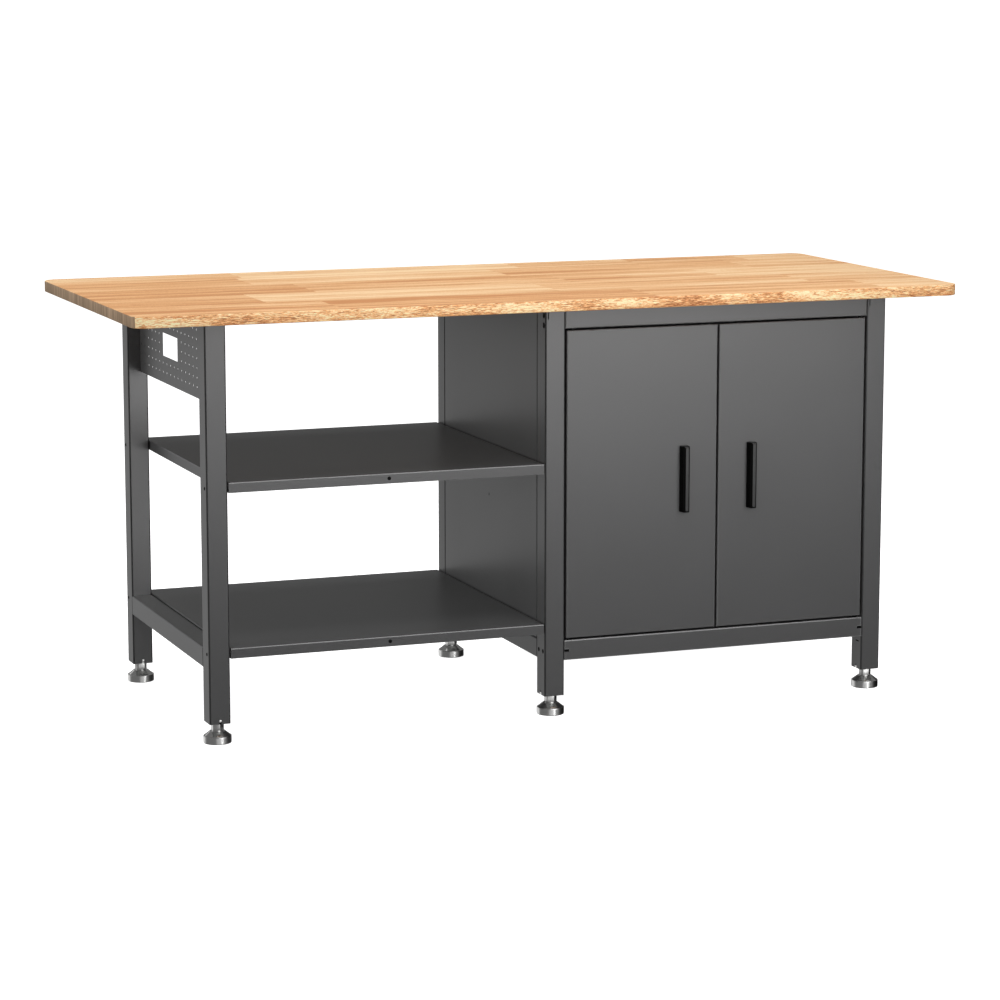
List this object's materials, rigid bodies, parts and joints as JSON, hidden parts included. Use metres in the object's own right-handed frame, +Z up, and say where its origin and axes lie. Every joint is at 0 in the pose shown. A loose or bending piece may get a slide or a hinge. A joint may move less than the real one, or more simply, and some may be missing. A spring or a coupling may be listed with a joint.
{
  "type": "workbench with cabinet doors",
  "caption": "Steel-framed workbench with a laminated wooden worktop, open shelves on the left, a hinged-door cabinet on the right and screw levelling feet.",
  "frame": {"origin": "on the floor under the middle of the worktop", "axes": "+X along the bench to the right as seen from the doors, -Y out of the front, +Z up"},
  "size_m": [1.83, 0.8, 0.905],
  "materials": {
    "wood": "oiled laminated boards",
    "grey_paint": "semi-gloss charcoal powder coat",
    "handle_black": "satin",
    "catch_plastic": "moulded",
    "zinc_steel": "zinc plated",
    "black_steel": "black oxide",
    "bright_nickel": "bright plated"
  },
  "bodies": {
    "bench": {"worktop": "wood", "perforated_panel": "grey_paint", "rear_rail": "grey_paint", "side_panel_middle": "grey_paint", "side_panel_right": "grey_paint", "back_panel": "grey_paint", "cabinet_floor": "grey_paint", "cabinet_top_rail": "grey_paint", "cabinet_shelf": "grey_paint", "shelf_middle": "grey_paint", "shelf_bottom": "grey_paint", "leg_front_left": "grey_paint", "leg_front_middle": "grey_paint", "leg_front_right": "grey_paint", "leg_rear_left": "grey_paint", "leg_rear_middle": "grey_paint", "leg_rear_right": "grey_paint", "side_rail_left": "grey_paint", "side_rail_middle": "grey_paint", "side_rail_right": "grey_paint", "leg_plug_front_left": "zinc_steel", "leg_plug_front_middle": "zinc_steel", "leg_plug_front_right": "zinc_steel", "leg_plug_rear_left": "zinc_steel", "leg_plug_rear_middle": "zinc_steel", "leg_plug_rear_right": "zinc_steel", "hinge_pin_upper_left": "black_steel", "hinge_pin_lower_left": "black_steel", "hinge_pin_upper_right": "black_steel", "hinge_pin_lower_right": "black_steel", "shelf_bracket_left": "zinc_steel", "shelf_bracket_right": "zinc_steel", "magnetic_catch": "catch_plastic"},
    "left_door": {"door_left": "grey_paint", "door_stiffener_left": "grey_paint", "handle_left": "handle_black", "strike_plate_left": "zinc_steel"},
    "right_door": {"door_right": "grey_paint", "door_stiffener_right": "grey_paint", "handle_right": "handle_black", "strike_plate_right": "zinc_steel"},
    "front_left_foot": {"foot_front_left": "bright_nickel"},
    "front_middle_foot": {"foot_front_middle": "bright_nickel"},
    "front_right_foot": {"foot_front_right": "bright_nickel"},
    "rear_left_foot": {"foot_rear_left": "bright_nickel"},
    "rear_middle_foot": {"foot_rear_middle": "bright_nickel"},
    "rear_right_foot": {"foot_rear_right": "bright_nickel"}
  },
  "joints": [
    {"name": "left_door_swing", "type": "hinge", "parent": "bench", "child": "left_door", "pos_m": [0.059, -0.275, 0.49625], "axis": [0, 0, -1], "range_deg": [0, 110]},
    {"name": "right_door_swing", "type": "hinge", "parent": "bench", "child": "right_door", "pos_m": [0.738, -0.275, 0.49625], "axis": [0, 0, 1], "range_deg": [0, 110]},
    {"name": "front_left_foot_height", "type": "slide", "parent": "bench", "child": "front_left_foot", "axis": [0, 0, -1], "range_m": [0, 0.02]},
    {"name": "front_middle_foot_height", "type": "slide", "parent": "bench", "child": "front_middle_foot", "axis": [0, 0, -1], "range_m": [0, 0.02]},
    {"name": "front_right_foot_height", "type": "slide", "parent": "bench", "child": "front_right_foot", "axis": [0, 0, -1], "range_m": [0, 0.02]},
    {"name": "rear_left_foot_height", "type": "slide", "parent": "bench", "child": "rear_left_foot", "axis": [0, 0, -1], "range_m": [0, 0.02]},
    {"name": "rear_middle_foot_height", "type": "slide", "parent": "bench", "child": "rear_middle_foot", "axis": [0, 0, -1], "range_m": [0, 0.02]},
    {"name": "rear_right_foot_height", "type": "slide", "parent": "bench", "child": "rear_right_foot", "axis": [0, 0, -1], "range_m": [0, 0.02]}
  ]
}
